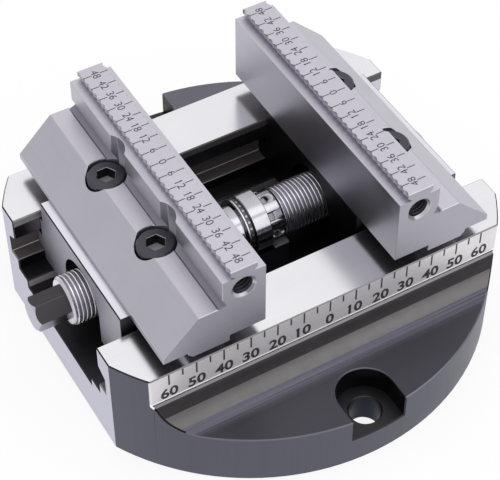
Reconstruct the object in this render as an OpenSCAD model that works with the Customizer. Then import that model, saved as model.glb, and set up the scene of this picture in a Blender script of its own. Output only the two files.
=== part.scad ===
// Self-centering vise: two jaws on opposed threads in a round base.
// Millimetres, Z up, X along the spindle with the drive end at -X.
// The origin is the middle of the base's underside.

/* [Base] */
// Diameter of the round base
base_d = 170; // [166:1:180]
// Length of the base between its flat ends, along the spindle
base_len = 150; // [146:1:158]
// Width of the upper body over its side bands
base_w = 105; // [98:1:110]
// Height of the base up to its ground ways
base_h = 44; // [43:0.5:50]
// Height of the bolting flange on both sides
flange_h = 21.5; // [18:0.5:22.5]
// Radius of the hollow between the flange and the side band
side_hollow_r = 12; // [8:0.5:12.5]
// Height of the ground side band that carries the scale
band_h = 12.4; // [10:0.2:14]
// How far the hollow starts outside the side band
band_step = 1; // [0.6:0.1:1.6]
// Width of the slot between the two ways
slot_w = 63; // [62.8:0.1:66]
// Width of the slide recess under the ways
recess_w = 72; // [68:0.5:78]
// Depth of the ledges that the slides run on, from the ways down
ledge_drop = 19; // [18:0.5:20]
// Height of the recess at its outer wall
recess_h = 7.5; // [6:0.5:8]
// Thickness of the ways at the slot
way_lip = 9; // [8:0.5:10]
// Depth of the slot's inner step, from the ways down
step_drop = 23.5; // [23:0.5:25]
// Width of the slot under the ledges
lower_w = 62; // [58:1:62.5]
// Width of the slot's floor
floor_w = 49; // [40:1:52]
// Depth of the slot's floor, from the ways down
floor_drop = 27; // [26:0.5:29]

/* [Bolting] */
// Distance of the two bolt holes from the rim, across the ways
bolt_inset = 9; // [7:0.5:10]
// Diameter of the bolt holes
bolt_hole_d = 11; // [8:0.5:13]
// Width of the open seat for each bolt head
bolt_slot_w = 20; // [16:0.5:22]
// Height of the seat for the bolt heads
bolt_seat_z = 12; // [8:0.5:15]

/* [Spindle] */
// Depth of the spindle's axis, from the ways down
spindle_drop = 11.5; // [11:0.1:12]
// Outside diameter of both threads
thread_d = 18; // [16:0.5:18.5]
// Pitch of both threads
thread_pitch = 1.5; // [1:0.25:2]
// Depth of the thread form
thread_depth = 0.92; // [0.6:0.02:1]
// Twice the reach of the drive half from the middle; the far half is a little shorter
spindle_len = 144; // [140:1:152]
// Distance across the flats of the drive hexagon
hex_af = 11; // [8:0.5:13]
// Length of the drive hexagon
hex_len = 11.8; // [10:0.2:20]
// Length of the coupling collar
collar_len = 6.4; // [6:0.2:7]

/* [Slides] */
// Length of each slide along the spindle
slide_len = 40.4; // [37:0.1:45]
// How far the slides stand above the ways
slide_rise = 5.6; // [5.4:0.1:7]
// How far both sides of each slide are cut back at the ways
side_relief = 1.9; // [0.5:0.1:3]
// Width of the arched channel over the spindle
arch_w = 25; // [24:0.1:26]
// Running clearance of the slides and the nuts
run_gap = 0.05; // [0.02:0.01:0.1]

/* [Jaws] */
// Opening between the two jaw faces
opening = 49.2; // [40:0.2:60]
// Length of the jaws across the ways
jaw_len = 105; // [80:1:120]
// Height of the gripping strips above the ways
jaw_top = 35; // [34:0.5:45]
// Width of the gripping strip on each jaw
strip_w = 9.5; // [8:0.1:11]
// Height of the gripping strip over its ledges
strip_h = 3.3; // [2.5:0.1:4]
// Distance between the scallops along the gripping strip
tooth_pitch = 3; // [2.5:0.1:4]
// Distance between the two screws of a jaw
screw_pitch = 35; // [34:0.5:38]
// Thread diameter of the jaw screws
screw_d = 8; // [6:0.5:8.5]
// Diameter of the tapped hole in each jaw end
end_hole_d = 6.8; // [4:0.1:7.4]

/* [Hidden] */
$fn = 96;
// Overrun of every cut past the face that it leaves
over = 2;
// Play between pieces that are bolted or pressed together
fit_gap = 0.02;

// Base
base_r = base_d / 2;
hollow_y = base_w / 2 + band_step + side_hollow_r;
hollow_z = flange_h + side_hollow_r;
hollow_share = 0.6;
band_z = base_h - band_h;
ledge_z = base_h - ledge_drop;
step_z = base_h - step_drop;
floor_z = base_h - floor_drop;
spindle_z = base_h - spindle_drop;
bolt_y = base_r - bolt_inset;
end_edge = 0.5;

// Spindle and its centre bearing
thread_r = thread_d / 2;
core_step = 2;
core_r = thread_r - core_step;
stub_r = core_r - core_step;
stub_len = 14;
collar_x = collar_len / 2;
collar_gap = 1.1;
collar_r = arch_w / 2 - collar_gap;
collar_edge = 0.3;
cage_t = 1.6;
cage_step = 0.3;
washer_t = 0.8;
washer_step = 0.7;
washer_r = collar_r - washer_step;
cage_r = washer_r - cage_step;
journal_gap = 0.7;
far_gap = 0.6;
journal_l_x = collar_x + cage_t + washer_t + journal_gap;
thread_x = 9.8;
claw_h = 2.9;
claw_count = 8;
claw_turn = 2;
claw_w = 2.6;
claw_gap = 0.1;
claw_inset = 0.9;
claw_r = thread_r - claw_inset;
end_chamfer = 1;
far_short = 1.1;
crest_share = 0.125;
hex_edge = 1;
hex_turn = 50;
hex_shank_r = 4.5;
hex_shank_len = 14;
pin_r = 1.5;
pin_x = (collar_x + claw_h + thread_x) / 2;
saddle_short = 0.4;
saddle_x = thread_x - saddle_short;
saddle_side_gap = 0.7;
saddle_w = arch_w - 2 * saddle_side_gap;
saddle_drop = 3.6;
bearing_screw_r = 2.5;
bearing_screw_pitch = 13;
bearing_head_r = 4.25;
bearing_head_h = 5;
bearing_screw_grip = 5;
bearing_seat_z = 6;
dowel_r = 2;
dowel_pitch = 11;
dowel_len = 8;

// Slides and nuts
slide_x = opening / 2;
slide_out = slide_x + slide_len;
slide_top = base_h + slide_rise;
screw_x = 20.4;
slide_float = 0.3;
slide_low = step_z + slide_float;
slide_edge = 0.4;
relief_drop = 3;
relief_z = base_h - relief_drop;
flange_gap = 0.2;
flange_top = ledge_z + recess_h - flange_gap;
flange_side_gap = 0.3;
flange_y = recess_w / 2 - flange_side_gap;
neck_y = slot_w / 2 - 2 * run_gap;
lower_y = lower_w / 2 - 2 * run_gap;
arch_r = arch_w / 2;
nut_inset = 11.4;
nut_in = slide_x + nut_inset;
nut_r = arch_r - 2 * run_gap;
nut_screw_r = 2.5;
nut_head_r = 4.25;
nut_head_h = 5;
nut_screw_step = 9;
nut_screw_x = slide_x + screw_x + nut_screw_step;
nut_screw_inset = 6;
nut_out = nut_screw_x + nut_screw_inset;
nut_screw_rise = 4.1;
nut_screw_z = spindle_z + nut_screw_rise;
nut_seat_y = 23.4;
nut_tip_gap = 0.2;
nut_tip_y = thread_r + nut_tip_gap;
nut_bore_r = thread_r + run_gap;

// Jaws, with places along X counted from the jaw face
jaw_low = slide_top;
tongue_h = 2.6;
tongue_z = slide_top - tongue_h;
pad_in = 13.1;
pad_out = 27.3;
pad_edge = 0.8;
land_rise = 20.5;
land_z = base_h + land_rise;
land_in = 17.2;
land_out = 24.2;
tip_x = 37;
tip_rise = 8;
tip_z = base_h + tip_rise;
wall_x = 15.6;
wall_foot_rise = 3.1;
wall_foot_z = land_z + wall_foot_rise;
groove_x = 14.2;
groove_rise = 0.7;
groove_z = land_z + groove_rise;
groove_lip = 0.5;
strip_x = 7.8;
strip_in = strip_x - strip_w / 2;
strip_out = strip_x + strip_w / 2;
strip_under = 1.7;
strip_side_h = 1.8;
strip_z = base_h + jaw_top;
jaw_ledge_z = strip_z - strip_h;
screw_r = screw_d / 2;
head_share = 0.8125;
screw_head_r = head_share * screw_d;
screw_head_h = screw_d;
head_sink = 0.5;
screw_head_z = land_z - head_sink;
screw_depth = 14;
socket_share = 0.75;
screw_socket_af = socket_share * screw_d;
screw_socket_depth = screw_d / 2;
head_edge = 0.6;
seat_gap = 0.5;
seat_r = screw_head_r + seat_gap;
clear_r = screw_r + seat_gap;
sleeve_wall = 2;
sleeve_r = screw_r + sleeve_wall;
sleeve_h = 6;
end_hole_x = 7.9;
end_hole_drop = 9;
end_hole_z = strip_z - end_hole_drop;
end_hole_depth = 14;
end_hole_edge = 1;
tooth_r = 1.6;
tooth_depth = 0.5;
tooth_count = floor(jaw_len / tooth_pitch);

// Turns an outline across the spindle, drawn as Y and Z, into a bar from x0 to x1.
module along_x(x0, x1)
    rotate([90, 0, 90]) translate([0, 0, x0]) linear_extrude(x1 - x0) children();

// Turns an outline seen from the front, drawn as X and Z, into a bar across the ways.
module along_y(length)
    rotate([90, 0, 0]) linear_extrude(length, center = true) children();

// A round bar on the spindle's axis, from outline points of radius and X.
module turned(points)
    translate([0, 0, spindle_z]) rotate([0, 90, 0]) rotate_extrude() polygon(points);

module rod_z(x, y, z0, z1, r)
    translate([x, y, z0]) cylinder(h = z1 - z0, r = r);

module rod_y(x, y0, y1, z, r)
    translate([x, y1, z]) rotate([90, 0, 0]) cylinder(h = y1 - y0, r = r);

// Mirrors a piece of the far end to the drive end.
module drive_side() mirror([1, 0, 0]) children();

// Places with a child on both sides of the spindle.
module both_sides(y) for (side = [-1, 1]) translate([0, side * y, 0]) children();

// A rectangle that reaches from -half to +half and from z0 to z1.
module band2d(half, z0, z1) translate([-half, z0]) square([2 * half, z1 - z0]);

// Outline of the base across the ways, with the hollows along its sides.
module base_section() {
    band2d(base_r + over, 0, flange_h);
    band2d(base_w / 2, 0, base_h);
    for (side = [-1, 1]) scale([side, 1]) difference() {
        translate([0, flange_h - over]) square([hollow_y, band_z - flange_h + over]);
        translate([hollow_y, hollow_z]) circle(side_hollow_r);
        translate([base_w / 2, band_z]) rotate(-45) square([hollow_share * side_hollow_r, side_hollow_r]);
    }
}

// Outline of the slot: gap between the ways, recess with flared roof, lower slot and floor.
module slot_section() {
    band2d(slot_w / 2, ledge_z, base_h + over);
    band2d(lower_w / 2, step_z, ledge_z + run_gap);
    band2d(floor_w / 2, floor_z, step_z + run_gap);
    for (side = [-1, 1]) scale([side, 1]) polygon([
        [0, ledge_z], [recess_w / 2, ledge_z], [recess_w / 2, ledge_z + recess_h],
        [slot_w / 2, base_h - way_lip], [0, base_h - way_lip]]);
}

// Bolt hole with its seat, open towards the rim.
module bolt_slot() {
    rod_z(0, 0, -over, flange_h + over, bolt_hole_d / 2);
    rod_z(0, 0, bolt_seat_z, flange_h + over, bolt_slot_w / 2);
    translate([-bolt_slot_w / 2, 0, bolt_seat_z])
        cube([bolt_slot_w, base_r, flange_h - bolt_seat_z + over]);
}

// Round base with its slot, the two bolt seats and the fixings of the centre bearing.
module base() color([0.36, 0.37, 0.4]) difference() {
    intersection() {
        cylinder(h = base_h, r = base_r, $fn = 180);
        along_x(-base_len / 2, base_len / 2) base_section();
    }
    along_x(-base_len / 2 - over, base_len / 2 + over) slot_section();
    for (turn = [0, 180]) rotate([0, 0, turn]) translate([0, bolt_y, 0]) bolt_slot();
    both_sides(bearing_screw_pitch / 2) {
        rod_z(0, 0, -over, bearing_seat_z, bearing_head_r + fit_gap);
        rod_z(0, 0, -over, floor_z + over, bearing_screw_r + fit_gap);
    }
    for (end = [-1, 1])
        rod_z(end * dowel_pitch / 2, 0, floor_z - dowel_len / 2, floor_z + over, dowel_r + fit_gap);
}

// The centre bearing: a block with two open cradles, one on each side of the collar.
module bearing_saddle() color([0.3, 0.31, 0.33]) difference() {
    along_x(-saddle_x, saddle_x) band2d(saddle_w / 2, floor_z, spindle_z - saddle_drop);
    turned([[0, -saddle_x - over], [thread_r + run_gap, -saddle_x - over],
            [thread_r + run_gap, saddle_x + over], [0, saddle_x + over]]);
    turned([[0, -journal_l_x + journal_gap], [arch_r - run_gap, -journal_l_x + journal_gap],
            [arch_r - run_gap, collar_x + run_gap], [0, collar_x + run_gap]]);
    both_sides(bearing_screw_pitch / 2)
        rod_z(0, 0, floor_z - over, floor_z + bearing_screw_grip, bearing_screw_r + fit_gap);
    for (end = [-1, 1])
        rod_z(end * dowel_pitch / 2, 0, floor_z - over, floor_z + dowel_len / 2, dowel_r + fit_gap);
}

module bearing_screws() color([0.15, 0.15, 0.16]) both_sides(bearing_screw_pitch / 2) {
    rod_z(0, 0, bearing_seat_z - bearing_head_h, bearing_seat_z, bearing_head_r);
    rod_z(0, 0, bearing_seat_z, floor_z + bearing_screw_grip - end_edge, bearing_screw_r);
}

module bearing_dowels() color([0.7, 0.7, 0.72]) for (end = [-1, 1])
    rod_z(end * dowel_pitch / 2, 0, floor_z - dowel_len / 2 + end_edge,
          floor_z + dowel_len / 2 - end_edge, dowel_r);

// Thread grooves as closed rings, from radius at the root to radius at the crest.
function thread_points(x0, count) = [for (i = [0 : count - 1]) for (p = [
    [thread_r - thread_depth, x0 + i * thread_pitch],
    [thread_r, x0 + (i + (1 - crest_share) / 2) * thread_pitch],
    [thread_r, x0 + (i + (1 + crest_share) / 2) * thread_pitch]]) p];

function thread_count(end_x) = floor((end_x - end_chamfer - thread_x) / thread_pitch);

// Outline of a threaded half from its bearing journal to its end, closed on the axis.
function half_points(journal_x, end_x) = concat(
    [[0, journal_x], [thread_r, journal_x], [thread_r, thread_x - thread_pitch / 2]],
    thread_points(thread_x, thread_count(end_x)),
    [[thread_r - thread_depth, thread_x + thread_count(end_x) * thread_pitch],
     [thread_r - thread_depth, end_x - end_chamfer + thread_depth],
     [thread_r - end_chamfer, end_x], [0, end_x]]);

// Drive half, with the core that carries the collar and enters the far half.
module spindle_left() color([0.78, 0.78, 0.8]) difference() {
    union() {
        drive_side() turned(half_points(journal_l_x, spindle_len / 2));
        turned([[0, -journal_l_x - over], [core_r, -journal_l_x - over], [core_r, collar_x + claw_h],
                [stub_r, collar_x + claw_h], [stub_r, thread_x + stub_len], [0, thread_x + stub_len]]);
    }
    turned([[0, -spindle_len / 2 - over], [hex_shank_r + fit_gap, -spindle_len / 2 - over],
            [hex_shank_r + fit_gap, -spindle_len / 2 + hex_shank_len + over],
            [0, -spindle_len / 2 + hex_shank_len + over]]);
    rod_y(pin_x, -thread_d, thread_d, spindle_z, pin_r + fit_gap);
}

// Ring of claws from the collar's middle to x1, from the core out to the given radius.
module claws(x1, width, radius) for (i = [0 : claw_count - 1])
    translate([0, 0, spindle_z]) rotate([claw_turn + i * 360 / claw_count, 0, 0])
        translate([0, -width / 2, core_r]) cube([x1, width, radius - core_r]);

// Far half, with slots for the collar's claws and a bore for the other half's core.
module spindle_right() color([0.78, 0.78, 0.8]) difference() {
    turned(half_points(collar_x + far_gap, spindle_len / 2 - far_short));
    turned([[0, 0], [core_r + fit_gap, 0], [core_r + fit_gap, collar_x + claw_h + fit_gap],
            [stub_r + fit_gap, collar_x + claw_h + fit_gap],
            [stub_r + fit_gap, thread_x + stub_len + over], [0, thread_x + stub_len + over]]);
    claws(collar_x + claw_h + fit_gap, claw_w + 2 * claw_gap, thread_r + over);
    rod_y(pin_x, -thread_d, thread_d, spindle_z, pin_r + fit_gap);
}

// Round collar that couples the halves, with a bore and with claws on its far side.
module coupling_collar() color([0.82, 0.82, 0.83]) difference() {
    union() {
        turned([[0, -collar_x], [collar_r - collar_edge, -collar_x], [collar_r, -collar_x + collar_edge],
                [collar_r, collar_x - collar_edge], [collar_r - collar_edge, collar_x], [0, collar_x]]);
        claws(collar_x + claw_h, claw_w, claw_r);
    }
    turned([[0, -collar_x - over], [core_r + fit_gap, -collar_x - over],
            [core_r + fit_gap, collar_x + claw_h + over], [0, collar_x + claw_h + over]]);
}

module coupling_pin() color([0.6, 0.6, 0.62])
    rod_y(pin_x, -thread_r + end_edge, thread_r - end_edge, spindle_z, pin_r);

module thrust_cage() color([0.2, 0.2, 0.21])
    turned([[core_r + fit_gap, -collar_x - cage_t], [cage_r, -collar_x - cage_t],
            [cage_r, -collar_x - fit_gap], [core_r + fit_gap, -collar_x - fit_gap]]);

module thrust_washer() color([0.85, 0.85, 0.86])
    turned([[core_r + fit_gap, -journal_l_x + journal_gap + run_gap],
            [washer_r, -journal_l_x + journal_gap + run_gap],
            [washer_r, -collar_x - cage_t - fit_gap], [core_r + fit_gap, -collar_x - cage_t - fit_gap]]);

// Black drive hexagon with a bevelled end and a shank in the drive half.
module drive_hex() color([0.2, 0.2, 0.21]) {
    intersection() {
        translate([-spindle_len / 2 - hex_len, 0, spindle_z]) rotate([hex_turn, 0, 0]) rotate([0, 90, 0])
            rotate([0, 0, 90]) cylinder(h = hex_len, r = hex_af / sqrt(3), $fn = 6);
        turned([[0, -spindle_len / 2 - hex_len],
                [hex_af / sqrt(3) - hex_edge, -spindle_len / 2 - hex_len],
                [hex_af / sqrt(3), -spindle_len / 2 - hex_len + hex_edge],
                [hex_af / sqrt(3), -spindle_len / 2], [0, -spindle_len / 2]]);
    }
    turned([[0, -spindle_len / 2 - end_edge], [hex_shank_r, -spindle_len / 2 - end_edge],
            [hex_shank_r, -spindle_len / 2 + hex_shank_len], [0, -spindle_len / 2 + hex_shank_len]]);
}

// Outline of a slide across the ways: T flanges, neck and the cut-back top.
module slide_section() difference() {
    union() {
        band2d(lower_y, slide_low, ledge_z + 2 * run_gap);
        band2d(flange_y, ledge_z + run_gap, flange_top);
        band2d(neck_y, ledge_z + run_gap, relief_z);
        band2d(neck_y - side_relief, relief_z - run_gap, slide_top);
    }
    translate([0, spindle_z]) circle(arch_r);
    band2d(arch_r, slide_low - over, spindle_z);
}

// Slide at the far end. It carries a jaw on top, keyed by a cross slot, and a nut in its channel.
module slide() color([0.66, 0.66, 0.68]) difference() {
    along_x(slide_x, slide_out) slide_section();
    translate([slide_out - slide_edge, -recess_w / 2, slide_top]) rotate([0, 45, 0])
        cube([slide_edge * sqrt(2), recess_w, slide_edge * sqrt(2)]);
    translate([slide_x + pad_in - fit_gap, -recess_w / 2, tongue_z - fit_gap])
        cube([pad_out + pad_edge - pad_in + 2 * fit_gap, recess_w, tongue_h + over]);
    both_sides(screw_pitch / 2) {
        rod_z(slide_x + screw_x, 0, tongue_z - screw_depth - over, slide_top + over, screw_r + fit_gap);
        rod_z(slide_x + screw_x, 0, tongue_z - sleeve_h / 2, slide_top + over, sleeve_r + fit_gap);
    }
    for (turn = [0, 180]) translate([nut_screw_x, 0, 0]) rotate([0, 0, turn]) {
        rod_y(0, 0, neck_y + over, nut_screw_z, nut_screw_r + fit_gap);
        rod_y(0, nut_seat_y, neck_y + over, nut_screw_z, nut_head_r + fit_gap);
    }
}

// Threaded nut that fills the slide's channel, with the thread's running bore.
module nut() color([0.72, 0.6, 0.4]) difference() {
    along_x(nut_in, nut_out) union() {
        translate([0, spindle_z]) circle(nut_r);
        band2d(nut_r, slide_low, spindle_z);
    }
    turned([[0, nut_in - over], [nut_bore_r, nut_in - over], [nut_bore_r, nut_out + over],
            [0, nut_out + over]]);
    for (turn = [0, 180]) translate([nut_screw_x, 0, 0]) rotate([0, 0, turn])
        rod_y(0, nut_tip_y - fit_gap, arch_r + over, nut_screw_z, nut_screw_r + fit_gap);
}

module nut_screws() color([0.15, 0.15, 0.16])
    for (turn = [0, 180]) translate([nut_screw_x, 0, 0]) rotate([0, 0, turn]) {
        rod_y(0, nut_tip_y, nut_seat_y, nut_screw_z, nut_screw_r);
        rod_y(0, nut_seat_y, nut_seat_y + nut_head_h - fit_gap, nut_screw_z, nut_head_r);
    }

// Locating sleeves around the jaw screws, half in the slide and half in the jaw.
module sleeves() color([0.75, 0.75, 0.77]) both_sides(screw_pitch / 2) difference() {
    rod_z(slide_x + screw_x, 0, tongue_z - sleeve_h / 2 + fit_gap, tongue_z + sleeve_h / 2 - fit_gap,
          sleeve_r);
    rod_z(slide_x + screw_x, 0, tongue_z - sleeve_h, tongue_z + sleeve_h, screw_r + fit_gap);
}

// Outline of a jaw from the front, with its tongue below. X is counted from the jaw face.
module jaw_section() polygon([
    [0, jaw_low], [pad_in, jaw_low], [pad_in, tongue_z], [pad_out - pad_edge, tongue_z],
    [pad_out + pad_edge, tongue_z + 2 * pad_edge], [pad_out + pad_edge, jaw_low], [tip_x, jaw_low],
    [tip_x, tip_z], [land_out, land_z], [land_in, land_z], [land_in - groove_lip, land_z - groove_lip],
    [groove_x + groove_lip, groove_z - groove_lip], [groove_x, groove_z], [wall_x, wall_foot_z],
    [wall_x, jaw_ledge_z], [strip_out - strip_under, jaw_ledge_z], [strip_out, strip_z - strip_side_h],
    [strip_out, strip_z], [strip_in, strip_z], [strip_in, strip_z - strip_side_h],
    [strip_in + strip_under, jaw_ledge_z], [0, jaw_ledge_z]]);

// Scallops along one side of the gripping strip, centred on the given place along X.
module scallops(x) for (i = [0 : tooth_count - 1])
    rod_z(slide_x + x, (i - (tooth_count - 1) / 2) * tooth_pitch, jaw_ledge_z + fit_gap, strip_z + over,
          tooth_r);

// Jaw at the far end, with seats for its screws and a tapped hole in each end.
module jaw() color([0.68, 0.67, 0.7]) difference() {
    translate([slide_x, 0, 0]) along_y(jaw_len) jaw_section();
    scallops(strip_in + tooth_depth - tooth_r);
    scallops(strip_out - tooth_depth + tooth_r);
    both_sides(screw_pitch / 2) {
        rod_z(slide_x + screw_x, 0, tongue_z - over, strip_z, clear_r);
        rod_z(slide_x + screw_x, 0, tongue_z - over, tongue_z + sleeve_h / 2, sleeve_r + fit_gap);
        rod_z(slide_x + screw_x, 0, screw_head_z - screw_head_h, strip_z + over, seat_r);
    }
    for (turn = [0, 180]) translate([slide_x + end_hole_x, 0, end_hole_z]) rotate([0, 0, turn]) {
        rod_y(0, jaw_len / 2 - end_hole_depth, jaw_len / 2 + over, 0, end_hole_d / 2);
        translate([0, jaw_len / 2 + over, 0]) rotate([90, 0, 0])
            cylinder(h = over + end_hole_edge, r1 = end_hole_d / 2 + end_hole_edge + over,
                     r2 = end_hole_d / 2);
    }
}

// Socket head cap screws that hold a jaw on its slide.
module jaw_screws() color([0.14, 0.14, 0.15]) both_sides(screw_pitch / 2) difference() {
    union() {
        rod_z(slide_x + screw_x, 0, tongue_z - screw_depth, screw_head_z - screw_head_h, screw_r);
        rod_z(slide_x + screw_x, 0, screw_head_z - screw_head_h, screw_head_z - head_edge, screw_head_r);
        translate([slide_x + screw_x, 0, screw_head_z - head_edge])
            cylinder(h = head_edge, r1 = screw_head_r, r2 = screw_head_r - head_edge);
    }
    translate([slide_x + screw_x, 0, screw_head_z - screw_socket_depth])
        cylinder(h = screw_socket_depth + over, r = screw_socket_af / sqrt(3), $fn = 6);
}

module left_slide() drive_side() slide();
module left_nut() drive_side() nut();
module left_nut_screws() drive_side() nut_screws();
module left_sleeves() drive_side() sleeves();
module left_jaw() drive_side() jaw();
module left_jaw_screws() drive_side() jaw_screws();
module right_slide() slide();
module right_nut() nut();
module right_nut_screws() nut_screws();
module right_sleeves() sleeves();
module right_jaw() jaw();
module right_jaw_screws() jaw_screws();

base();
bearing_saddle();
bearing_screws();
bearing_dowels();
spindle_left();
spindle_right();
drive_hex();
coupling_collar();
coupling_pin();
thrust_washer();
thrust_cage();
left_slide();
left_nut();
left_nut_screws();
left_sleeves();
left_jaw();
left_jaw_screws();
right_slide();
right_nut();
right_nut_screws();
right_sleeves();
right_jaw();
right_jaw_screws();
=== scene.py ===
"""Looks of a self-centering vise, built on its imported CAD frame.

Lengths are in metres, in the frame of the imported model: X runs along the spindle
with the drive end at -X, Y across the ways, and Z up from the underside of the base.
Each sub-assembly is a class that holds its sizes, builds its meshes and dresses them.
"""

import logging
import math
from collections.abc import Callable, Iterable
from dataclasses import dataclass, field
from enum import Enum
from functools import cache
from typing import Any

import bmesh
import bpy
from mathutils import Matrix, Vector

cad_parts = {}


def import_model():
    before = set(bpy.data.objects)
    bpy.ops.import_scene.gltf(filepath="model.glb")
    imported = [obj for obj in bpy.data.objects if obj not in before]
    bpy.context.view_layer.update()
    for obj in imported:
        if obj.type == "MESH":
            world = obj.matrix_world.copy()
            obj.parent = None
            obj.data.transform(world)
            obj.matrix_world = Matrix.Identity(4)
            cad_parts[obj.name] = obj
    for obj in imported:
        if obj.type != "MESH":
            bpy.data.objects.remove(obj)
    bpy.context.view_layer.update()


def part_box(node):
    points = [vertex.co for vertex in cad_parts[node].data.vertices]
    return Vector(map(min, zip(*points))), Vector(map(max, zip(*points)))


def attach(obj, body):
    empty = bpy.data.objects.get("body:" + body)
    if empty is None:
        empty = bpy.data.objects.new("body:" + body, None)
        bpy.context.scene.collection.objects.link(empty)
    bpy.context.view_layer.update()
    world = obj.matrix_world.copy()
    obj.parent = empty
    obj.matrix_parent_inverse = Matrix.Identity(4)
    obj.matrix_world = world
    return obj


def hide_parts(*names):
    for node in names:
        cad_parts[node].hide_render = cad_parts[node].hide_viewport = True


LOG = logging.getLogger("vise")
MM = 0.001
TURN = 2 * math.pi
QUARTER = TURN / 4
WELD = 0.002 * MM
CUT_SNAP = WELD / 10
NEAR = 0.05 * MM
ALONG = 0.99
ACROSS = 0.1
FLAT_ANGLE = math.radians(0.1)
EDGE_ANGLE = math.radians(30)
NOISE_MIDDLE = 0.5
MIX_LOW, MIX_HIGH, MIX_RESULT = 6, 7, 2
WHITE = (1.0, 1.0, 1.0, 1.0)
Color = tuple[float, float, float]
Face = bmesh.types.BMFace
Edge = bmesh.types.BMEdge


class Axis(Enum):
    """A direction of the object's frame."""

    X = 0
    Y = 1
    Z = 2

    @property
    def direction(self) -> Vector:
        """The unit vector along the axis."""
        return Vector([float(self.value == i) for i in range(3)])


class Side(Enum):
    """An end of the vise, with the sign of its X."""

    LEFT = -1
    RIGHT = 1

    @property
    def word(self) -> str:
        """The end's name as the CAD nodes use it."""
        return self.name.lower()

    @property
    def other(self) -> "Side":
        """The opposite end."""
        return Side(-self.value)


def along(normal: Vector, axis: Axis) -> bool:
    """Whether a face's normal lies along an axis, either way."""
    return abs(normal[axis.value]) > ALONG


def across(normal: Vector, axis: Axis) -> bool:
    """Whether a face's normal is square to an axis, or nearly so."""
    return abs(normal[axis.value]) < ACROSS


def upward(normal: Vector) -> bool:
    """Whether a face's normal points straight up."""
    return normal.z > ALONG


def srgb(red: float, green: float, blue: float) -> Color:
    """Turns a screen's colour, from 0 to 255, into the linear one that a shader takes."""
    parts = [part / 255 for part in (red, green, blue)]
    return tuple(p / 12.92 if p <= 0.04045 else ((p + 0.055) / 1.055) ** 2.4 for p in parts)


@cache
def cad_box(node: str) -> tuple[Vector, Vector]:
    """Gives the lowest and highest corner of a CAD node, measured once."""
    low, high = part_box(node)
    return Vector(low), Vector(high)


def rgba(color: Color) -> tuple[float, float, float, float]:
    """Gives an opaque colour for a socket, with no part above 1."""
    return (*[min(1.0, part) for part in color], 1.0)


class Signal:
    """An output of a shader node that takes part in Python expressions."""

    def __init__(self, shader: "Shader", socket: bpy.types.NodeSocket) -> None:
        """Keeps the tree that the output belongs to, and the output."""
        self.shader = shader
        self.socket = socket

    def math(self, operation: str, first: Any, second: Any) -> "Signal":
        """Adds a Math node on two signals or numbers and gives its result."""
        return self.shader.add("ShaderNodeMath", {"operation": operation}, {0: first, 1: second})

    def __add__(self, other: Any) -> "Signal":
        """Sum of two signals, or of a signal and a number."""
        return self.math("ADD", self, other)

    def __radd__(self, other: float) -> "Signal":
        """Sum of a number and a signal."""
        return self.math("ADD", other, self)

    def __sub__(self, other: Any) -> "Signal":
        """Difference of two signals, or of a signal and a number."""
        return self.math("SUBTRACT", self, other)

    def __rsub__(self, other: float) -> "Signal":
        """Difference of a number and a signal."""
        return self.math("SUBTRACT", other, self)

    def __mul__(self, other: Any) -> "Signal":
        """Product of two signals, or of a signal and a number."""
        return self.math("MULTIPLY", self, other)

    def __rmul__(self, other: float) -> "Signal":
        """Product of a number and a signal."""
        return self.math("MULTIPLY", other, self)

    def at_least(self, other: Any) -> "Signal":
        """The larger of two signals, or of a signal and a number."""
        return self.math("MAXIMUM", self, other)


class Shader:
    """A node tree with one method that adds any node to it."""

    def __init__(self, owner: bpy.types.Material | bpy.types.World) -> None:
        """Takes over a material or a world and empties its tree.

        Args:
            owner: The material or world.
        """
        owner.use_nodes = True
        self.tree = owner.node_tree
        self.tree.nodes.clear()

    def add(
        self,
        kind: str,
        settings: dict[str, Any] | None = None,
        inputs: dict[int | str, Any] | None = None,
        output: int | str = 0,
    ) -> Signal:
        """Adds one node, sets it up and feeds its sockets.

        Args:
            kind: The node's type.
            settings: Its own settings, which are set first.
            inputs: Values or signals by socket.
            output: The socket that the result is taken from.

        Returns:
            That output as a signal.
        """
        node = self.tree.nodes.new(kind)
        for name, value in (settings or {}).items():
            setattr(node, name, value)
        for name, value in (inputs or {}).items():
            if isinstance(value, Signal):
                self.tree.links.new(value.socket, node.inputs[name])
            else:
                node.inputs[name].default_value = value
        return Signal(self, node.outputs[output] if node.outputs else None)

    def stretched(self, place: Signal, scale: tuple[float, float, float]) -> Signal:
        """Gives coordinates with each axis times its scale."""
        return self.add("ShaderNodeMapping", {}, {"Vector": place, "Scale": scale})

    def noise(self, place: Signal, scale: float, detail: float = 2.0) -> Signal:
        """Adds noise around 0.5 at a scale in features per metre."""
        return self.add(
            "ShaderNodeTexNoise", {}, {"Vector": place, "Scale": scale, "Detail": detail}, "Fac"
        )

    def blend(self, factor: Signal, low: Color, high: Color) -> Signal:
        """Mixes two colours by a signal from 0 to 1."""
        colors = {0: factor, MIX_LOW: rgba(low), MIX_HIGH: rgba(high)}
        return self.add("ShaderNodeMix", {"data_type": "RGBA"}, colors, MIX_RESULT)


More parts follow.
